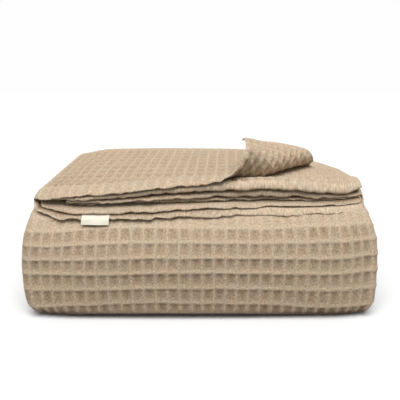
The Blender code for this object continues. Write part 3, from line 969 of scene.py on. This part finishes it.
def read_line(corners, lengths, at):
    at = np.clip(at, 0.0, lengths[-1])
    return np.column_stack([np.interp(at, lengths, column) for column in corners.T])


def ribbon_line(x, share):
    """The ribbon's middle line at x with its bend rounded, and the way its upper face looks."""
    corners = label_line(x)
    lengths = np.append(0.0, np.cumsum(np.linalg.norm(np.diff(corners, axis=0), axis=1)))
    at = np.linspace(0.0, lengths[-1], LABEL_ROWS)
    offsets = np.linspace(-LABEL_BEND, LABEL_BEND, BLUR_POINTS)
    line = sum(read_line(corners, lengths, at + offset) for offset in offsets) / len(offsets)
    hanging = smooth((at - lengths[2]) / LABEL_DROP)
    along = unit(np.gradient(line, axis=0))
    face = np.cross(-along, (1.0, 0.0, 0.0))
    waved = LABEL_WAVE * math.sin(LABEL_HALF_WAVES * math.pi * share + LABEL_PHASE) * hanging
    return line + face * waved[:, None], face


def ribbon_points():
    """Points of the ribbon's upper face and then its lower one, column by column."""
    points = []
    for side in (1, -1):
        for x in np.linspace(LABEL_LEFT, LABEL_RIGHT, LABEL_COLUMNS):
            line, face = ribbon_line(x, (x - LABEL_LEFT) / (LABEL_RIGHT - LABEL_LEFT))
            points.append(line + side * face * LABEL_THICKNESS / 2)
    return np.vstack(points)


def ribbon_faces():
    """The ribbon's two faces and the rim round them."""
    index = np.arange(2 * LABEL_COLUMNS * LABEL_ROWS).reshape(2, LABEL_COLUMNS, LABEL_ROWS)
    faces = []
    for grid, order in zip(index, (1, -1)):
        quads = np.stack([grid[:-1, :-1], grid[1:, :-1], grid[1:, 1:], grid[:-1, 1:]], axis=-1)
        faces += quads.reshape(-1, 4)[:, ::order].tolist()
    for upper, lower in (index[:, :, 0], index[:, -1, :], index[:, ::-1, -1], index[:, 0, ::-1]):
        faces += np.stack([upper[:-1], lower[:-1], lower[1:], upper[1:]], axis=-1).tolist()
    return faces


def add_label(finish):
    label = mesh_object("label_ribbon", ribbon_points(), ribbon_faces(), finish)
    label.data.set_sharp_from_angle(angle=LABEL_SHARP)
    layer = label.data.uv_layers.new(name="weave")
    corner = np.array([loop.vertex_index for loop in label.data.loops])
    across = (corner // LABEL_ROWS) % LABEL_COLUMNS / (LABEL_COLUMNS - 1)
    down = corner % LABEL_ROWS / (LABEL_ROWS - 1)
    size = (LABEL_RIGHT - LABEL_LEFT, LABEL_TUCK + LABEL_LIP + LABEL_DROP)
    layer.data.foreach_set("uv", np.column_stack([across * size[0], down * size[1]]).ravel())
    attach(label, "root")
    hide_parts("label")


# ---- materials

COTTON = {
    "Roughness": 0.92,
    "Specular IOR Level": 0.15,
    "Sheen Weight": 0.12,
    "Sheen Roughness": 0.6,
    "Sheen Tint": (0.9, 0.68, 0.45, 1.0),
}
SHADE_ROWS = (  # position on the ramp and colour: painted shade deep between the hems, painted shade in a hollow, the cloth's own colour on a ridge
    (0.0, (0.15, 0.088, 0.040)),
    (0.5, (0.325, 0.246, 0.166)),
    (0.975, (0.463, 0.368, 0.264)),
)
FUZZ = (480.0, 4.0)  # scale and detail of a noise
BLOTCHES = (45.0, 3.0)
PATCHES = (60.0, 2.0)
FUZZ_SHADE = 0.5  # how far the fuzz moves the shade
BLOTCH_SHADE = 0.3
FUZZ_GRAIN = (1.4, 0.30)  # how bright the fuzz makes the colour, by its value
PATCH_CONTRAST = (3.0, -1.0)
WARM_TINT = (1.025, 0.992, 0.975, 1.0)
COOL_TINT = (0.98, 1.005, 1.025, 1.0)
YARN = 5200.0  # radians per metre
YARN_BUMP = 0.25
COTTON_BUMP = {"Strength": 0.7, "Distance": 0.0009}

RIBBON = {"Roughness": 0.5, "Sheen Weight": 0.3}
RIBBON_COLOUR = (0.64, 0.60, 0.495)
WEFT = {"Scale": 900.0, "Distortion": 0.6}
WEFT_SHADE = 0.9
RIBBON_BUMP = {"Strength": 0.3, "Distance": 0.0002}


def new_material(name):
    made = bpy.data.materials.new(name)
    made.use_nodes = True
    return made, made.node_tree, made.node_tree.nodes["Principled BSDF"]


def set_inputs(node, inputs):
    """Links each input to another node's output, or gives it a value of its own."""
    for key, value in inputs.items():
        if isinstance(value, bpy.types.NodeSocket):
            node.id_data.links.new(value, node.inputs[key])
        else:
            node.inputs[key].default_value = value


def new_node(tree, kind, inputs, **settings):
    node = tree.nodes.new("ShaderNode" + kind)
    for name, value in settings.items():
        setattr(node, name, value)
    set_inputs(node, inputs)
    return node.outputs


def math_node(tree, operation, *values):
    return new_node(tree, "Math", dict(enumerate(values)), operation=operation)[0]


def noise_node(tree, vector, scale, detail):
    return new_node(tree, "TexNoise", {"Scale": scale, "Detail": detail, "Vector": vector})["Fac"]


def mix_node(tree, blend, factor, a, b):
    inputs = {"Factor": factor, "A": a, "B": b}
    return new_node(tree, "Mix", inputs, data_type="RGBA", blend_type=blend)["Result"]


def ramp_node(tree, at, rows):
    """The colour of a ramp at a place on it, from rows (position, colour)."""
    node = tree.nodes.new("ShaderNodeValToRGB")
    set_inputs(node, {"Fac": at})
    stops = node.color_ramp.elements
    while len(stops) < len(rows):
        stops.new(0.5)
    for stop, (position, colour) in zip(stops, rows):
        stop.position = position
        stop.color = (*colour, 1.0)
    return node.outputs["Color"]


def cotton():
    """Soft cotton with yarn, fuzz and uneven colour; painted shade makes it browner in the hollows than on
    the ridges.
    """
    made, tree, shader = new_material("waffle_cotton")
    place = new_node(tree, "Attribute", {}, attribute_name="cloth")
    split = new_node(tree, "SeparateXYZ", {"Vector": place["Vector"]})
    weave = new_node(tree, "CombineXYZ", {"X": split["X"], "Y": split["Y"]})[0]
    fuzz = noise_node(tree, weave, *FUZZ)
    wobble = math_node(tree, "MULTIPLY_ADD", fuzz, FUZZ_SHADE, -FUZZ_SHADE / 2)
    wobble = math_node(tree, "MULTIPLY_ADD", noise_node(tree, weave, *BLOTCHES), BLOTCH_SHADE, wobble)
    shade = math_node(tree, "ADD", split["Z"], wobble)
    shade = math_node(tree, "MULTIPLY_ADD", shade, 0.5, 0.5 - BLOTCH_SHADE / 4)
    # the ramp paints shade into the colour: darkest deep between the hems, darker in the hollows than on
    # the ridges
    colour = ramp_node(tree, shade, SHADE_ROWS)
    patches = math_node(tree, "MULTIPLY_ADD", noise_node(tree, weave, *PATCHES), *PATCH_CONTRAST)
    tint = mix_node(tree, "MIX", patches, WARM_TINT, COOL_TINT)
    colour = mix_node(tree, "MULTIPLY", 1.0, colour, tint)
    grain = math_node(tree, "MULTIPLY_ADD", fuzz, *FUZZ_GRAIN)
    colour = mix_node(tree, "MULTIPLY", 1.0, colour, grain)
    sines = (math_node(tree, "SINE", math_node(tree, "MULTIPLY", split[axis], YARN)) for axis in "XY")
    yarn = math_node(tree, "MULTIPLY", *sines)
    bumps = math_node(tree, "MULTIPLY_ADD", yarn, YARN_BUMP, fuzz)
    normal = new_node(tree, "Bump", {**COTTON_BUMP, "Height": bumps})["Normal"]
    set_inputs(shader, {**COTTON, "Base Color": colour, "Normal": normal})
    return made


def ribbon():
    """A fine woven ribbon, cream and blank, with a little shine."""
    made, tree, shader = new_material("label_ribbon")
    place = new_node(tree, "UVMap", {}, uv_map="weave")[0]
    weft = new_node(tree, "TexWave", {**WEFT, "Vector": place}, bands_direction="Y")["Fac"]
    darker = [WEFT_SHADE * value for value in RIBBON_COLOUR]
    colour = mix_node(tree, "MIX", weft, (*darker, 1.0), (*RIBBON_COLOUR, 1.0))
    normal = new_node(tree, "Bump", {**RIBBON_BUMP, "Height": weft})["Normal"]
    set_inputs(shader, {**RIBBON, "Base Color": colour, "Normal": normal})
    return made


def plain(name, colour):
    made, _, shader = new_material(name)
    set_inputs(shader, {"Base Color": (*colour, 1.0), "Roughness": FLOOR_ROUGHNESS})
    return made


# ---- floor, light and camera

CAMERA_PLACE = (0.0, -0.670, 0.296)
CAMERA_TILT = math.radians(73.6)
LENS = 45.9
SENSOR_WIDTH = 36.0
FLOOR_SIZE = 6.0
FLOOR_ROUGHNESS = 0.9
FLOOR_COLOUR = (0.64,) * 3
BOUNCE_COLOUR = (0.050, 0.028, 0.010)
BOUNCE_HEIGHT = -0.0005
WORLD_ROWS = ((0.10, 0.96), (0.30, 0.45))  # height of the way looked in, -1 to 1, and brightness there
WORLD_STRENGTH = 1.03
SUN_STRENGTH = 4.1
SUN_WIDTH = math.radians(50)
SUN_TURN = np.radians((24, -1, 0))


def level_square(name, height, finish):
    half = FLOOR_SIZE / 2
    corners = [(x * half, y * half, height) for x, y in ((-1, -1), (1, -1), (1, 1), (-1, 1))]
    return mesh_object(name, np.array(corners), [(0, 1, 2, 3)], finish)


def add_floor():
    """A pale floor, and under it a darker one that takes its place in the light that it gives back."""
    floor = level_square("floor", 0.0, plain("pale_floor", FLOOR_COLOUR))
    floor.visible_diffuse = False
    floor.visible_shadow = False
    bounce = level_square("bounce", BOUNCE_HEIGHT, plain("bounce_floor", BOUNCE_COLOUR))
    bounce.visible_camera = False
    bounce.visible_glossy = False
    bounce.visible_transmission = False
    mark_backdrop(floor, bounce)


def add_world():
    """A soft studio: white round the horizon, like the floor, and dimmer above."""
    world = bpy.data.worlds.new("studio")
    world.use_nodes = True
    tree = world.node_tree
    place = new_node(tree, "TexCoord", {})["Generated"]
    looked_in = new_node(tree, "SeparateXYZ", {"Vector": place})["Z"]
    on_ramp = math_node(tree, "MULTIPLY_ADD", looked_in, 0.5, 0.5)
    rows = [(height / 2 + 0.5, (brightness,) * 3) for height, brightness in WORLD_ROWS]
    colour = ramp_node(tree, on_ramp, rows)
    set_inputs(tree.nodes["Background"], {"Color": colour, "Strength": WORLD_STRENGTH})
    bpy.context.scene.world = world


def add_sun():
    """One very wide soft light, from above and a little in front."""
    light = bpy.data.lights.new("soft_light", "SUN")
    light.energy = SUN_STRENGTH
    light.angle = SUN_WIDTH
    new_object("soft_light", light, turn=SUN_TURN)


def add_camera():
    camera = bpy.data.cameras.new("camera")
    camera.lens = LENS
    camera.sensor_width = SENSOR_WIDTH
    bpy.context.scene.camera = new_object("camera", camera, CAMERA_PLACE, (CAMERA_TILT, 0, 0))


def main():
    add_camera()
    add_blanket(cotton())
    add_label(ribbon())
    add_floor()
    add_world()
    add_sun()
    bpy.context.scene.view_settings.view_transform = "Standard"


main()

boxes = {"cad": CAD_BOUNDS, "visual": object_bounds()}
{name: [list(map(float, corner)) for corner in box] for name, box in boxes.items()}
